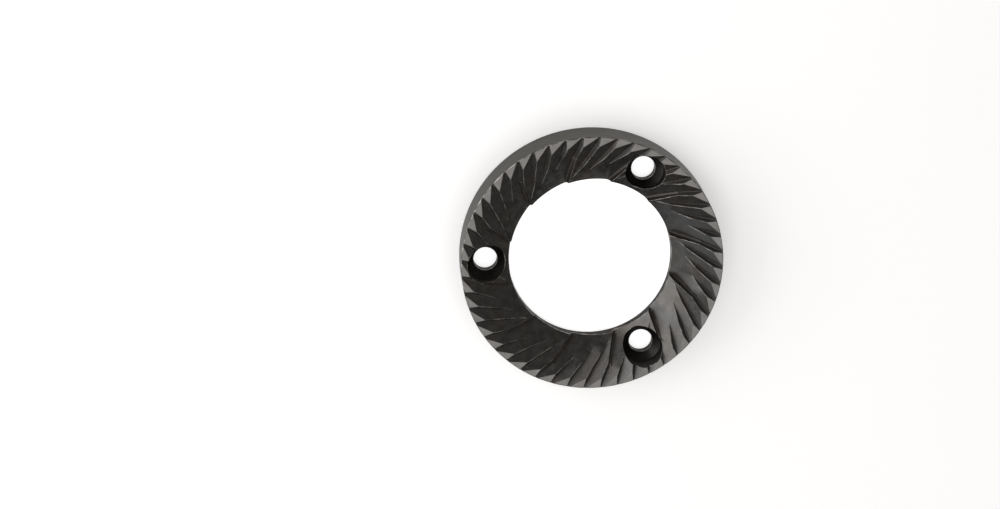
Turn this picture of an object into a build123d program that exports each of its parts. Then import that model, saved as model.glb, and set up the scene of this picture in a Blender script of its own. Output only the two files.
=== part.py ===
from build123d import *
import os
from math import atan2, cos, degrees, radians, sin, sqrt, tan

# Ring, in mm. The back face lies on z = 0 and the teeth face +Z.
outer_diameter = 64.0
bore_diameter = 40.0
thickness = 10.0
rim_break_width = 0.4  # edge break round the back of the rim
bore_relief_height = 2.0  # relief round the back of the bore
bore_relief_width = 1.2

# Three screw holes with sunk seats. The first lies on +X.
screw_circle_diameter = 51.4
screw_count = 3
screw_hole_diameter = 5.8
hole_break_depth = 1.0  # 45 degree edge break round the back of a hole
seat_diameter = 9.5
seat_foot_height = 3.1  # from the back face to the foot of the seat
seat_angle = 90.0

# Fine teeth: straight V grooves that start at the rim and fall towards the bore.
tooth_count = 48
tooth_phase_angle = 4.3  # from the first screw hole to the nearest breaker tooth
tooth_lean_angle = 27.5  # groove to the radius, seen along the axis
tooth_fall_angle = 16.0  # slope of the groove floor
rim_nick_depth = 0.25  # depth of a groove where it leaves the rim
cutting_flank_angle = 44.0  # steep side of a groove, from the upright
relief_flank_angle = 59.5  # gentle side of a groove, from the upright
groove_root_radius = 0.2  # along the floor of a groove

# Breakers: ramps that feed the fine teeth, each ending at a steep step.
breaker_count = 12
ramp_slope_angle = 38.5  # fall of a ramp towards the bore
ramp_depth = 6.7  # under the face, at the foot of the step in the bore
ramp_axis_offset_x = -2.7  # axis of the cone a ramp follows, off the axis of the ring
ramp_axis_offset_y = -8.2
step_lean_angle = 11.1  # step to the radius, seen along the axis
step_draft_angle = 8.5  # step from the upright
step_offset = 7.1  # from the axis of the ring to the top line of the step
step_root_radius = 0.8  # between ramp and step
step_root_bite_depth = 0.03  # how far the root dips under the ramp before it meets it

cutter_clearance = 0.5  # how far a cutter stands clear of what it cuts

outer_r = outer_diameter / 2
bore_r = bore_diameter / 2

# Plain turned ring
with BuildPart() as blank:
    with BuildSketch(Plane.XZ):
        with BuildLine():
            Polyline(
                (bore_r, bore_relief_height),
                (bore_r, thickness),
                (outer_r, thickness),
                (outer_r, rim_break_width),
                (outer_r - rim_break_width, 0),
                (bore_r + bore_relief_width, 0),
                close=True,
            )
        make_face()
    revolve(axis=Axis.Z)

# Step of the breaker tooth whose tip lies on +X: a leaning plane that meets the bore at its foot
step_turn = radians(step_lean_angle)
draft = radians(step_draft_angle)
across = Vector(sin(step_turn), cos(step_turn), 0)
along = Vector(cos(step_turn), -sin(step_turn), 0)
step_normal = across * cos(draft) + Vector(0, 0, sin(draft))
foot_offset = step_offset + ramp_depth * tan(draft)
foot = across * foot_offset + along * sqrt(bore_r**2 - foot_offset**2)
next_foot = foot.rotate(Axis.Z, 360 / breaker_count)

# Ramp that ends at this step: part of a cone, swept from before this step to past the next one
ramp_axis = Axis((ramp_axis_offset_x, ramp_axis_offset_y, 0), (0, 0, 1))
ramp_rise = tan(radians(ramp_slope_angle))
ramp_foot = thickness - ramp_depth
ramp_top = thickness + cutter_clearance
foot_r = (foot - ramp_axis.position).length
inner_r = foot_r - ramp_foot / ramp_rise
foot_turn = degrees(atan2(foot.Y - ramp_axis_offset_y, foot.X - ramp_axis_offset_x))
next_turn = degrees(atan2(next_foot.Y - ramp_axis_offset_y, next_foot.X - ramp_axis_offset_x))
overrun = (next_turn - foot_turn) / 2
ramp_start = radians(foot_turn - overrun)
ramp_plane = Plane(
    origin=ramp_axis.position,
    x_dir=(cos(ramp_start), sin(ramp_start), 0),
    z_dir=(sin(ramp_start), -cos(ramp_start), 0),
)

# Root between ramp and step: a straight line from the bore to where the ramp meets the face
def corner_at(height):
    """Point where the ramp and the step would meet without the root."""
    offset = step_offset + (thickness - height) * tan(draft)
    ramp_r = inner_r + height / ramp_rise
    reach = sqrt(ramp_r**2 - (offset - across.dot(ramp_axis.position)) ** 2)
    return across * offset + along * (along.dot(ramp_axis.position) + reach) + Vector(0, 0, height)


root_middle = corner_at((ramp_foot + thickness) / 2)
root_line = (corner_at(thickness) - corner_at(ramp_foot)).normalized()
root_up = root_line.cross(step_normal)
root_plane = Plane(origin=root_middle - root_up * step_root_bite_depth, x_dir=step_normal, z_dir=root_line)
outward = Vector(root_middle.X - ramp_axis_offset_x, root_middle.Y - ramp_axis_offset_y, 0).normalized()
ramp_line = (Vector(0, 0, 1) - outward * ramp_rise).cross(root_line)
ramp_climb = ramp_line.dot(root_up) / ramp_line.dot(step_normal)

with BuildPart() as breaker:
    with BuildSketch(ramp_plane):
        with BuildLine():
            Polyline((inner_r, 0), (inner_r + ramp_top / ramp_rise, ramp_top), (inner_r, ramp_top), close=True)
        make_face()
    revolve(axis=ramp_axis, revolution_arc=next_turn - foot_turn + 2 * overrun)
    with BuildSketch(root_plane) as root_section:
        with BuildLine():
            Polyline((0, outer_r), (0, 0), (outer_r, outer_r * ramp_climb), (outer_r, outer_r), close=True)
        make_face()
        fillet(root_section.vertices().sort_by_distance((0, 0))[0], radius=step_root_radius)
    extrude(amount=outer_r, both=True, mode=Mode.INTERSECT)

# Groove in front of the tooth whose tip lies on +X, from just outside the rim to the bore
lean = radians(tooth_lean_angle)
fall = radians(tooth_fall_angle)
inward = Vector(-cos(lean) * cos(fall), sin(lean) * cos(fall), -sin(fall))
run_out = rim_nick_depth / sin(fall)
bore_chord = sqrt(max(bore_r**2 - (outer_r * sin(lean)) ** 2, 0))
groove_length = (outer_r * cos(lean) - bore_chord) / cos(fall) + cutter_clearance
groove_height = (rim_nick_depth + groove_length * sin(fall) + cutter_clearance) / cos(fall)
groove_plane = Plane(
    origin=Vector(outer_r, 0, thickness - rim_nick_depth) - inward * run_out,
    x_dir=(-sin(lean), -cos(lean), 0),
    z_dir=inward,
)
with BuildPart() as groove:
    with BuildSketch(groove_plane) as groove_section:
        with BuildLine():
            Polyline(
                (0, 0),
                (groove_height * tan(radians(cutting_flank_angle)), groove_height),
                (-groove_height * tan(radians(relief_flank_angle)), groove_height),
                close=True,
            )
        make_face()
        fillet(groove_section.vertices().sort_by_distance((0, 0))[0], radius=groove_root_radius)
    extrude(amount=run_out + groove_length)
    split(bisect_by=Plane.XY.offset(thickness + cutter_clearance), keep=Keep.BOTTOM)

# One screw hole with its seat, on the axis of the ring
hole_r = screw_hole_diameter / 2
seat_r = seat_diameter / 2
seat_top = seat_foot_height + (seat_r - hole_r) / tan(radians(seat_angle / 2))
with BuildPart() as screw_cut:
    with BuildSketch(Plane.XZ):
        with BuildLine():
            Polyline(
                (0, -cutter_clearance),
                (hole_r + hole_break_depth + cutter_clearance, -cutter_clearance),
                (hole_r, hole_break_depth),
                (hole_r, seat_foot_height),
                (seat_r, seat_top),
                (seat_r, thickness + cutter_clearance),
                (0, thickness + cutter_clearance),
                close=True,
            )
        make_face()
    revolve(axis=Axis.Z)

with BuildPart() as burr:
    add(blank.part)
    with PolarLocations(0, breaker_count, start_angle=tooth_phase_angle):
        add(breaker.part, mode=Mode.SUBTRACT)
    with PolarLocations(0, tooth_count, start_angle=tooth_phase_angle):
        add(groove.part, mode=Mode.SUBTRACT)
    with PolarLocations(screw_circle_diameter / 2, screw_count):
        add(screw_cut.part, mode=Mode.SUBTRACT)

burr.part.label = "burr"
os.makedirs("parts", exist_ok=True)
export_step(burr.part, "parts/burr.step")
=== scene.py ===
from math import pi, radians

import bmesh
import bpy
from bpy.props import FloatProperty, FloatVectorProperty, PointerProperty
from mathutils import Matrix, Vector


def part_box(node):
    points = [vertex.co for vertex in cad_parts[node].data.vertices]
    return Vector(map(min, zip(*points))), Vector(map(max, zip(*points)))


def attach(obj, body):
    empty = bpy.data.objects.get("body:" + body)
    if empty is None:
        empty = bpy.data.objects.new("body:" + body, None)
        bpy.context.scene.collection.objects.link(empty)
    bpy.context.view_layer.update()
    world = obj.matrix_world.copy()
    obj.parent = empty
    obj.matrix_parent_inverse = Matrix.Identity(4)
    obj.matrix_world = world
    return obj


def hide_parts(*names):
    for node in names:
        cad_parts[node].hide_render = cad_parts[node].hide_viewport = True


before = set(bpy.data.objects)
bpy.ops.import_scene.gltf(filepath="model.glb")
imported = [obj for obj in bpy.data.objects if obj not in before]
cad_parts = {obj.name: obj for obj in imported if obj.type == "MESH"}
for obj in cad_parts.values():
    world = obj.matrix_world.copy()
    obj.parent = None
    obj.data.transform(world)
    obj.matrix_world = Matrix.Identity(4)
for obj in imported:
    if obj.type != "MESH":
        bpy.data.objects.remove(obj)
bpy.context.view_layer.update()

bl_info = {
    "name": "Coffee grinder burr",
    "version": (1, 0, 0),
    "blender": (4, 5, 0),
    "location": "View3D > Sidebar > Burr",
    "description": "Gives a flat grinding burr its worn edges, its steel finishes and a studio",
    "category": "Object",
}

MM = 0.001  # sizes are in metres

# The ring, as its solid has it
NODE = "burr"
FACE_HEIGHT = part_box(NODE)[1].z  # the tooth lands lie at this height
OUTER_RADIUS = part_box(NODE)[1].x
BORE_RADIUS = 20.0 * MM
RELIEF_HEIGHT = 2.0 * MM  # how high the relief round the back of the bore reaches
SEAT_RADIUS = 4.75 * MM
HOLE_COUNT = 3
HOLE_CIRCLE_RADIUS = 25.7 * MM
HOLE_TURNS = [Matrix.Rotation(2 * pi * turn / HOLE_COUNT, 2) for turn in range(HOLE_COUNT)]
HOLE_CENTRES = [turn @ Vector((HOLE_CIRCLE_RADIUS, 0.0)) for turn in HOLE_TURNS]

# How its surfaces and edges are told apart
NEAR = 0.05 * MM  # how near a face lies to the height or radius that it is picked by
LEVEL = 0.99  # a face is level if its normal rises more than this
UPRIGHT = 0.1  # and upright if it rises less than this
SHARP = radians(25)  # a larger turn between two faces is an edge
FLAT = radians(0.3)  # triangles that turn less than this become one face
FLANK, LAND, RIM, WALL, EDGE = range(5)  # the order of the ring's materials
WEAR_SEGMENTS = 2

# Brown residue with painted shade in the corners of the teeth: darker where a place sees less sky, and darker
# the deeper it lies
RESIDUE_AND_SHADE_REACH = 4.0 * MM  # how far from a corner it reaches
RESIDUE_AND_SHADE_DEPTH = 2.0 * MM  # how far under the face a corner holds the most
BARE_UNSHADED_AT_FACE = 0.5  # share of a corner that stays clean, unshaded metal at the height of the face
CORNER_SKY = 0.66  # share of the sky that a corner sees where it holds the most
OPEN_SKY = 0.96  # and that a place sees where none is left
SKY_SAMPLES = 8

# Patterns: the values that noise mostly lies between, and how dark and light its patches make a colour
NOISE_LOW = 0.3
NOISE_HIGH = 0.7
DARK_PATCH = 0.86
LIGHT_PATCH = 1.12
BUMP_STRENGTH = 0.6

# Tints that heat leaves on steel, and a plain one that leaves a colour as it is
BROWN_HEAT = (1.06, 1.0, 0.97)
BLUE_HEAT = (0.94, 0.99, 1.06)
PLAIN = (1.0, 1.0, 1.0)

# Sockets of a Mix node that mixes colours
FACTOR = 0
FIRST = 6
SECOND = 7
MIXED = 2

# Camera: the point it looks at, the direction it looks from in degrees, and its turn about its own axis
CAMERA_AIM = Vector((22.22, -1.57, 5.0)) * MM
CAMERA_AZIMUTH = -78.53
CAMERA_ELEVATION = 72.05
CAMERA_DISTANCE = 585.1 * MM
CAMERA_ROLL = 167.78
SENSOR_WIDTH = 36.0  # Blender takes this one in millimetres
CLIP_START = 10.0 * MM

# Soft lights: azimuth and elevation in degrees, then distance, width and depth in metres
OVERHEAD = (100, 80, 0.9, 1.0, 1.0)
SIDE = (-11, 25, 0.6, 0.68, 0.42)
SIDE_HIGH = (-38, 54, 0.6, 0.4, 0.28)
FRONT_LOW = (40, 15, 0.6, 0.68, 0.24)

# Floor: the sheet glows evenly, and under the ring it glows more as painted light; that stronger glow ends
# between the screw holes and the rim
FLOOR_SIZE = 4.0
FLOOR_GAP = 0.01 * MM  # keeps the floor and the back of the burr apart
GLOW_FADE_START = HOLE_CIRCLE_RADIUS + 0.7 * SEAT_RADIUS
GLOW_FADE_END = HOLE_CIRCLE_RADIUS + 0.9 * SEAT_RADIUS


def linear(code):
    """Linear colour of an sRGB hex code."""
    values = [int(code[place : place + 2], 16) / 255 for place in (0, 2, 4)]
    return tuple(v / 12.92 if v <= 0.04045 else ((v + 0.055) / 1.055) ** 2.4 for v in values)


class BurrSettings(bpy.types.PropertyGroup):
    """Sizes and colours of the burr's finish."""

    wear_width: FloatProperty(
        name="Wear Width",
        description="Width of the worn strip along an edge",
        default=0.09 * MM,
        unit="LENGTH",
    )
    rim_wear_width: FloatProperty(
        name="Rim Wear Width",
        description="Width of the worn strip between the rim and the lands",
        default=0.2 * MM,
        unit="LENGTH",
    )
    merge_distance: FloatProperty(
        name="Merge Distance",
        description="Points of the mesh nearer to each other than this become one",
        default=0.05 * MM,
        unit="LENGTH",
    )
    land_colour: FloatVectorProperty(
        name="Lands",
        description="Ground steel of the tooth lands",
        default=linear("757371"),
        subtype="COLOR",
    )
    rim_colour: FloatVectorProperty(
        name="Rim",
        description="Turned steel of the rim and the back",
        default=linear("504e49"),
        subtype="COLOR",
    )
    flank_colour: FloatVectorProperty(
        name="Flanks",
        description="Heat-darkened steel of the teeth and the ramps",
        default=linear("5a5957"),
        subtype="COLOR",
    )
    # Colour of the brown residue and the painted shade in the corners of the teeth
    residue_and_shade_colour: FloatVectorProperty(
        name="Residue",
        description="Dull brown residue in the corners of the teeth",
        default=linear("2e2925"),
        subtype="COLOR",
    )
    wall_colour: FloatVectorProperty(
        name="Walls",
        description="Blackened steel of the bore and the screw holes",
        default=linear("383634"),
        subtype="COLOR",
    )
    edge_colour: FloatVectorProperty(
        name="Edges",
        description="Bright steel where an edge is worn",
        default=linear("b2afaa"),
        subtype="COLOR",
    )


class StudioSettings(bpy.types.PropertyGroup):
    """Floor, lights and camera."""

    floor_colour: FloatVectorProperty(
        name="Floor",
        description="Pale sheet that the burr lies on",
        default=linear("f4f4f4"),
        subtype="COLOR",
    )
    floor_glow: FloatProperty(
        name="Floor Glow",
        description="Light that comes up through the sheet",
        default=0.36,
    )
    # Painted light: the sheet glows more under the bore and the screw holes, so they show white
    ring_glow: FloatProperty(
        name="Ring Glow",
        description="Light that comes up through the sheet under the bore and the screw holes",
        default=0.75,
    )
    surround_colour: FloatVectorProperty(
        name="Surround Colour",
        description="Warm white of the room round the lights",
        default=linear("fffaf3"),
        subtype="COLOR",
    )
    surround: FloatProperty(
        name="Surround",
        description="Brightness of the room round the lights",
        default=0.21,
    )
    overhead: FloatProperty(
        name="Overhead",
        description="Brightness of the large light above",
        default=1.13,
    )
    side: FloatProperty(
        name="Side",
        description="Brightness of the wide light at the left of the picture",
        default=1.88,
    )
    side_high: FloatProperty(
        name="Side High",
        description="Brightness of the light above the wide one",
        default=0.9,
    )
    front_low: FloatProperty(
        name="Front Low",
        description="Brightness of the low light at the lower left of the picture",
        default=0.6,
    )
    lens: FloatProperty(
        name="Lens",
        description="Focal length of the camera",
        default=86.3,
        unit="CAMERA",
    )


def add(tree, kind, inputs=None, **settings):
    """Adds a node, sets its properties, and sets or links its inputs by name or number."""
    node = tree.nodes.new(kind)
    for name, value in settings.items():
        setattr(node, name, value)
    for name, value in (inputs or {}).items():
        if isinstance(value, bpy.types.NodeSocket):
            tree.links.new(value, node.inputs[name])
        else:
            node.inputs[name].default_value = value
    return node


def new_material(name):
    """An empty node material, with its tree and its Object coordinates."""
    material = bpy.data.materials.new(name)
    material.use_nodes = True
    tree = material.node_tree
    tree.nodes.clear()
    place = add(tree, "ShaderNodeTexCoord").outputs["Object"]
    return material, tree, place


def clouds(tree, place, size, low=0.0, high=1.0, detail=3.0):
    """Noise with patches of about that size in metres, spread from low to high."""
    noise = add(tree, "ShaderNodeTexNoise", {"Vector": place, "Scale": 1 / size, "Detail": detail})
    spread = {"Value": noise.outputs["Fac"], "From Min": NOISE_LOW, "From Max": NOISE_HIGH}
    spread = {**spread, "To Min": low, "To Max": high}
    return add(tree, "ShaderNodeMapRange", spread).outputs["Result"]


def shade(colour, factor=1.0):
    """A colour made lighter or darker, with full alpha."""
    return (*(channel * factor for channel in colour), 1.0)


def tinted(colour, tint):
    """A colour times a tint, with full alpha."""
    return (*(channel * part for channel, part in zip(colour, tint)), 1.0)


def mottled(tree, place, colour, size):
    """A colour that varies a little in patches of that size."""
    patches = clouds(tree, place, size)
    tones = {FACTOR: patches, FIRST: shade(colour, DARK_PATCH), SECOND: shade(colour, LIGHT_PATCH)}
    return add(tree, "ShaderNodeMix", tones, data_type="RGBA").outputs[MIXED]


def round_axis(tree, place, stretch):
    """Radius, length round the ring over that stretch, and height: noise on them runs round the axis."""
    parts = add(tree, "ShaderNodeSeparateXYZ", {"Vector": place})
    flat = add(tree, "ShaderNodeVectorMath", {0: place, 1: (1.0, 1.0, 0.0)}, operation="MULTIPLY")
    radius = add(tree, "ShaderNodeVectorMath", {0: flat.outputs["Vector"]}, operation="LENGTH")
    turn = add(tree, "ShaderNodeMath", {0: parts.outputs["Y"], 1: parts.outputs["X"]}, operation="ARCTAN2")
    length = {0: turn.outputs["Value"], 1: OUTER_RADIUS / stretch}
    length = add(tree, "ShaderNodeMath", length, operation="MULTIPLY")
    places = {"X": radius.outputs["Value"], "Y": length.outputs["Value"], "Z": parts.outputs["Z"]}
    return add(tree, "ShaderNodeCombineXYZ", places).outputs["Vector"]


def steel(tree, colour, roughness, height, depth, gleam=1.0, bare_unshaded=1.0):
    """Steel with a bump of that depth, a share of its gleam at a grazing view, and a share of metal left
    clean and unshaded.
    """
    bump = add(tree, "ShaderNodeBump", {"Height": height, "Distance": depth, "Strength": BUMP_STRENGTH})
    surface = {"Base Color": colour, "Metallic": bare_unshaded, "Roughness": roughness}
    surface = {**surface, "Normal": bump.outputs["Normal"], "Specular Tint": shade(PLAIN, gleam)}
    shader = add(tree, "ShaderNodeBsdfPrincipled", surface)
    add(tree, "ShaderNodeOutputMaterial", {"Surface": shader.outputs["BSDF"]})


def ground_lands(colour):
    """Surface-ground steel: satin grey with lines round the axis, so the lands read as flat and ground."""
    material, tree, place = new_material("ground_steel_lands")
    line = 0.12 * MM  # drawn coarser than real grinding lines, to break up the gleam
    lines = round_axis(tree, place, stretch=12.0)
    tone = mottled(tree, place, colour, size=2.5 * MM)
    rough = clouds(tree, lines, line, low=0.3, high=0.38, detail=2.0)
    steel(tree, tone, rough, clouds(tree, lines, line, detail=2.0), depth=0.004 * MM)
    return material


def turned_rim(colour):
    """Turned steel: lines round the rim and soft patches of oxide, so the side reads as one lathe cut."""
    material, tree, place = new_material("turned_steel_rim")
    line = 0.15 * MM  # drawn coarser than real turning lines, to break up the gleam
    lines = round_axis(tree, place, stretch=30.0)
    tone = mottled(tree, place, colour, size=4.0 * MM)
    rough = clouds(tree, lines, line, low=0.3, high=0.4, detail=2.0)
    steel(tree, tone, rough, clouds(tree, lines, line, detail=2.0), depth=0.006 * MM, gleam=0.64)
    return material


def milled_flanks(colour, residue_and_shade_colour):
    """Milled steel darkened by heat: satin, mottled brown and blue, with dull brown residue and painted shade
    in the corners.
    """
    material, tree, place = new_material("heat_darkened_milled_steel")
    heat_patch = 7.0 * MM
    scuff = 1.8 * MM
    dark_scuff = 0.8
    light_scuff = 1.2
    grain = 0.25 * MM  # drawn coarser than real milling marks, so that it shows
    heat = {FACTOR: clouds(tree, place, heat_patch)}
    heat = {**heat, FIRST: tinted(colour, BLUE_HEAT), SECOND: tinted(colour, BROWN_HEAT)}
    heat = add(tree, "ShaderNodeMix", heat, data_type="RGBA").outputs[MIXED]
    scuffs = {FACTOR: clouds(tree, place, scuff, detail=5.0)}
    scuffs = {**scuffs, FIRST: shade(PLAIN, dark_scuff), SECOND: shade(PLAIN, light_scuff)}
    scuffs = add(tree, "ShaderNodeMix", scuffs, data_type="RGBA").outputs[MIXED]
    metal = {FACTOR: 1.0, FIRST: heat, SECOND: scuffs}
    metal = add(tree, "ShaderNodeMix", metal, data_type="RGBA", blend_type="MULTIPLY").outputs[MIXED]

    # Painted shade with brown residue: a place that sees less sky nearby takes the residue-and-shade colour
    # and loses metal, and the deeper it lies the more
    height = add(tree, "ShaderNodeSeparateXYZ", {"Vector": place}).outputs["Z"]
    least = {"Value": height, "From Min": FACE_HEIGHT - RESIDUE_AND_SHADE_DEPTH, "From Max": FACE_HEIGHT}
    least = add(tree, "ShaderNodeMapRange", {**least, "To Max": BARE_UNSHADED_AT_FACE}).outputs["Result"]
    sky = {"Distance": RESIDUE_AND_SHADE_REACH}
    sky = add(tree, "ShaderNodeAmbientOcclusion", sky, samples=SKY_SAMPLES, only_local=True).outputs["AO"]
    bare_unshaded = {"Value": sky, "From Min": CORNER_SKY, "From Max": OPEN_SKY, "To Min": least}
    bare_unshaded = add(tree, "ShaderNodeMapRange", bare_unshaded).outputs["Result"]
    tone = {FACTOR: bare_unshaded, FIRST: shade(residue_and_shade_colour), SECOND: metal}
    tone = add(tree, "ShaderNodeMix", tone, data_type="RGBA").outputs[MIXED]

    rough = clouds(tree, place, scuff, low=0.22, high=0.32, detail=5.0)
    bumps = clouds(tree, place, grain, detail=4.0)
    steel(tree, tone, rough, bumps, depth=0.004 * MM, gleam=0.4, bare_unshaded=bare_unshaded)
    return material


def blackened_walls(colour):
    """Bored steel left black from hardening: dull and with little gleam, so the holes read as deep."""
    material, tree, place = new_material("blackened_bored_steel")
    line = 0.2 * MM  # drawn coarser than real boring lines, to break up the gleam
    lines = round_axis(tree, place, stretch=20.0)
    tone = mottled(tree, place, colour, size=2.0 * MM)
    rough = clouds(tree, place, size=1.5 * MM, low=0.36, high=0.46)
    steel(tree, tone, rough, clouds(tree, lines, line, detail=2.0), depth=0.006 * MM, gleam=0.55)
    return material


def worn_edges(colour, under):
    """Edges rubbed bright in places and still dark in others, so each crest shows as a broken light line."""
    material, tree, place = new_material("worn_steel_edges")
    rubbed = clouds(tree, place, size=2.0 * MM, low=-0.4, high=1.2, detail=4.0)
    tone = {FACTOR: rubbed, FIRST: shade(under), SECOND: shade(colour)}
    tone = add(tree, "ShaderNodeMix", tone, data_type="RGBA").outputs[MIXED]
    bumps = clouds(tree, place, size=0.2 * MM)
    steel(tree, tone, roughness=0.35, height=bumps, depth=0.004 * MM)
    return material


def lit_sheet(colour, glow, ring_glow):
    """Matt white sheet that glows, most of all inside the ring, as painted light so the bore and the holes
    show white.
    """
    material, tree, place = new_material("matt_white_sheet")
    patch = 150.0 * MM
    dull_patch = 0.985
    tone = {FACTOR: clouds(tree, place, patch), FIRST: shade(colour, dull_patch), SECOND: shade(colour)}
    tone = add(tree, "ShaderNodeMix", tone, data_type="RGBA").outputs[MIXED]
    # Painted light: a stronger glow inside the ring, fading to the sheet's own glow under the ring
    radius = add(tree, "ShaderNodeVectorMath", {0: place}, operation="LENGTH").outputs["Value"]
    fade = {"Value": radius, "From Min": GLOW_FADE_START, "From Max": GLOW_FADE_END}
    fade = add(tree, "ShaderNodeMapRange", {**fade, "To Min": ring_glow, "To Max": glow}).outputs["Result"]
    surface = {"Base Color": tone, "Roughness": 0.9, "Specular IOR Level": 0.1}
    surface = {**surface, "Emission Color": shade(PLAIN), "Emission Strength": fade}
    shader = add(tree, "ShaderNodeBsdfPrincipled", surface)
    add(tree, "ShaderNodeOutputMaterial", {"Surface": shader.outputs["BSDF"]})
    return material


def is_wall(face, middle):
    """Whether a face belongs to the bore, its relief or a screw hole."""
    in_bore = middle.xy.length < BORE_RADIUS + NEAR and abs(face.normal.z) < UPRIGHT
    in_relief = middle.z < RELIEF_HEIGHT and middle.xy.length < BORE_RADIUS + RELIEF_HEIGHT
    in_hole = any((middle.xy - centre).length < SEAT_RADIUS + NEAR for centre in HOLE_CENTRES)
    return in_bore or in_relief or in_hole


def finish_of(face):
    """The material of a face of the ring, by its place and its normal."""
    middle = face.calc_center_median()
    if face.normal.z > LEVEL and middle.z > FACE_HEIGHT - NEAR:
        return LAND
    if middle.xy.length > OUTER_RADIUS - 2 * NEAR or middle.z < NEAR:
        return RIM
    return WALL if is_wall(face, middle) else FLANK


def merge_triangles(piece, distance):
    """Joins the loose triangles of a copied mesh into flat faces, smooth but for the sharp edges."""
    bpy.ops.object.select_all(action="DESELECT")
    piece.select_set(True)
    bpy.context.view_layer.objects.active = piece
    bpy.ops.mesh.customdata_custom_splitnormals_clear()
    bpy.ops.object.mode_set(mode="EDIT")
    bpy.ops.mesh.select_all(action="SELECT")
    bpy.ops.mesh.remove_doubles(threshold=distance)
    bpy.ops.mesh.dissolve_limited(angle_limit=FLAT)
    bpy.ops.object.mode_set(mode="OBJECT")
    bpy.ops.object.shade_smooth_by_angle(angle=SHARP)


def sort_faces(piece, wear_share):
    """Gives each face its material, and each outer edge its share of the wear between rim and lands."""
    bpy.ops.object.mode_set(mode="EDIT")
    mesh = bmesh.from_edit_mesh(piece.data)
    for face in mesh.faces:
        face.material_index = finish_of(face)
    weight = mesh.edges.layers.float.new("bevel_weight_edge")
    for crest in mesh.edges:
        if crest.is_convex and crest.calc_face_angle(0.0) > SHARP:
            front_edge = {face.material_index for face in crest.link_faces} == {LAND, RIM}
            crest[weight] = 1.0 if front_edge else wear_share
    bmesh.update_edit_mesh(piece.data)
    bpy.ops.object.mode_set(mode="OBJECT")


def wear_edges(piece, width):
    """Bevels the outer edges, by that width at most, and smooths the ring again."""
    bpy.ops.object.modifier_add(type="BEVEL")
    wear = piece.modifiers[-1]
    wear.limit_method = "WEIGHT"
    wear.width = width
    wear.segments = WEAR_SEGMENTS
    wear.use_clamp_overlap = False
    wear.material = EDGE
    bpy.ops.object.modifier_apply(modifier=wear.name)
    for point in piece.data.vertices:
        point.co.z = min(point.co.z, FACE_HEIGHT)  # the bevel lifts some points past the face
    for strip in piece.data.polygons:
        at_rim = strip.center.xy.length > OUTER_RADIUS - width
        if strip.material_index == EDGE and strip.center.z > FACE_HEIGHT - NEAR and not at_rim:
            strip.material_index = LAND
    bpy.ops.object.modifier_add(type="WEIGHTED_NORMAL")
    piece.modifiers[-1].keep_sharp = True
    bpy.ops.object.modifier_apply(modifier=piece.modifiers[-1].name)


class BURR_OT_finish_ring(bpy.types.Operator):
    """Copy the ring, wear its outer edges and give each surface its steel"""

    bl_idname = "burr.finish_ring"
    bl_label = "Finish Ring"

    def execute(self, context):
        settings = context.scene.burr
        piece = bpy.data.objects.new("toothed_ring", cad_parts[NODE].data.copy())
        context.scene.collection.objects.link(piece)
        piece.data.materials.clear()
        piece.data.materials.append(milled_flanks(settings.flank_colour, settings.residue_and_shade_colour))
        piece.data.materials.append(ground_lands(settings.land_colour))
        piece.data.materials.append(turned_rim(settings.rim_colour))
        piece.data.materials.append(blackened_walls(settings.wall_colour))
        piece.data.materials.append(worn_edges(settings.edge_colour, settings.flank_colour))
        merge_triangles(piece, settings.merge_distance)
        sort_faces(piece, settings.wear_width / settings.rim_wear_width)
        wear_edges(piece, settings.rim_wear_width)

        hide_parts(NODE)
        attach(piece, "root")
        return {"FINISHED"}


def orbit(aim, azimuth, elevation, distance, roll=0.0):
    """Matrix of a camera or light that looks at a point from a direction, in degrees."""
    turn = Matrix.Rotation(radians(azimuth + 90), 4, "Z") @ Matrix.Rotation(radians(90 - elevation), 4, "X")
    back = turn @ Vector((0, 0, distance))
    return Matrix.Translation(aim + back) @ turn @ Matrix.Rotation(radians(roll), 4, "Z")


def soft_light(name, azimuth, elevation, distance, width, depth, brightness):
    """Rectangular soft light that faces the burr from that direction."""
    data = bpy.data.lights.new(name, "AREA")
    data.shape = "RECTANGLE"
    data.size = width
    data.size_y = depth
    data.energy = brightness * pi * width * depth  # a larger light of the same brightness takes more power
    light = bpy.data.objects.new(name, data)
    light.matrix_world = orbit(Vector(), azimuth, elevation, distance)
    bpy.context.scene.collection.objects.link(light)


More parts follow.
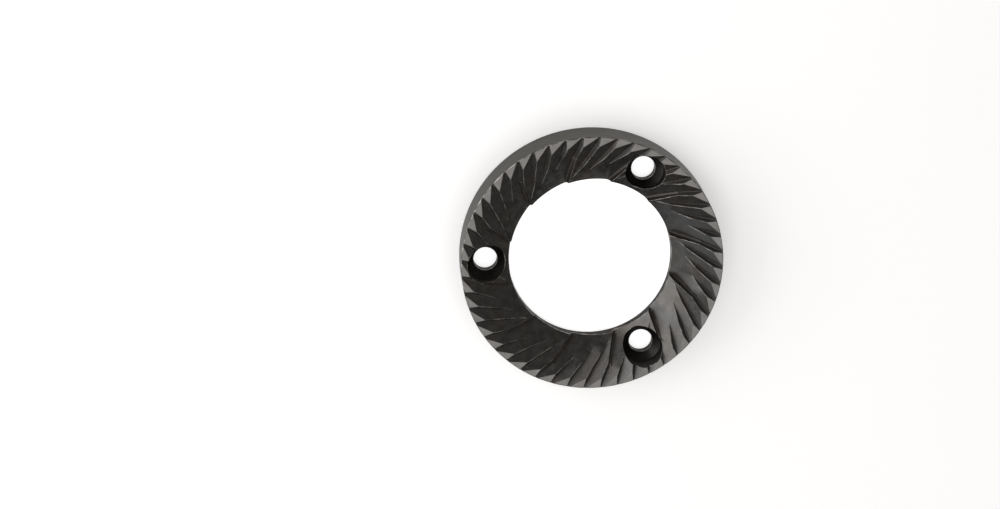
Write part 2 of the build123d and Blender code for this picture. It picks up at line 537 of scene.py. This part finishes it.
class BURR_OT_add_stage(bpy.types.Operator):
    """Add the pale floor, the lights and the camera"""

    bl_idname = "burr.add_stage"
    bl_label = "Add Stage"

    def execute(self, context):
        scene = context.scene
        settings = scene.studio
        scene.view_settings.view_transform = "Standard"

        bpy.ops.object.select_all(action="DESELECT")
        bpy.ops.mesh.primitive_plane_add(size=FLOOR_SIZE, location=(0.0, 0.0, -FLOOR_GAP))
        floor = context.active_object
        floor.name = "floor"
        floor.data.materials.append(lit_sheet(settings.floor_colour, settings.floor_glow, settings.ring_glow))

        scene.world = bpy.data.worlds.new("studio")
        scene.world.use_nodes = True
        room = scene.world.node_tree.nodes["Background"]
        room.inputs["Color"].default_value = shade(settings.surround_colour)
        room.inputs["Strength"].default_value = settings.surround

        soft_light("overhead_softbox", *OVERHEAD, settings.overhead)
        soft_light("side_softbox", *SIDE, settings.side)
        soft_light("side_high_softbox", *SIDE_HIGH, settings.side_high)
        soft_light("front_low_softbox", *FRONT_LOW, settings.front_low)

        data = bpy.data.cameras.new("camera")
        data.lens = settings.lens
        data.sensor_width = SENSOR_WIDTH
        data.clip_start = CLIP_START
        camera = bpy.data.objects.new("camera", data)
        view = (CAMERA_AZIMUTH, CAMERA_ELEVATION, CAMERA_DISTANCE, CAMERA_ROLL)
        camera.matrix_world = orbit(CAMERA_AIM, *view)
        scene.collection.objects.link(camera)
        scene.camera = camera
        return {"FINISHED"}


class BURR_PT_panel(bpy.types.Panel):
    """Lists the settings and the steps"""

    bl_idname = "BURR_PT_panel"
    bl_label = "Coffee Grinder Burr"
    bl_space_type = "VIEW_3D"
    bl_region_type = "UI"
    bl_category = "Burr"

    def draw(self, context):
        scene = context.scene
        for group, step in ((scene.burr, BURR_OT_finish_ring), (scene.studio, BURR_OT_add_stage)):
            box = self.layout.box()
            for name in group.__annotations__:
                box.prop(group, name)
            box.operator(step.bl_idname)


CLASSES = (BurrSettings, StudioSettings, BURR_OT_finish_ring, BURR_OT_add_stage, BURR_PT_panel)


def register():
    for item in CLASSES:
        bpy.utils.register_class(item)
    bpy.types.Scene.burr = PointerProperty(type=BurrSettings)
    bpy.types.Scene.studio = PointerProperty(type=StudioSettings)


def unregister():
    del bpy.types.Scene.studio
    del bpy.types.Scene.burr
    for item in reversed(CLASSES):
        bpy.utils.unregister_class(item)


def main():
    register()
    bpy.ops.burr.finish_ring()
    bpy.ops.burr.add_stage()


if __name__ == "__main__":
    main()
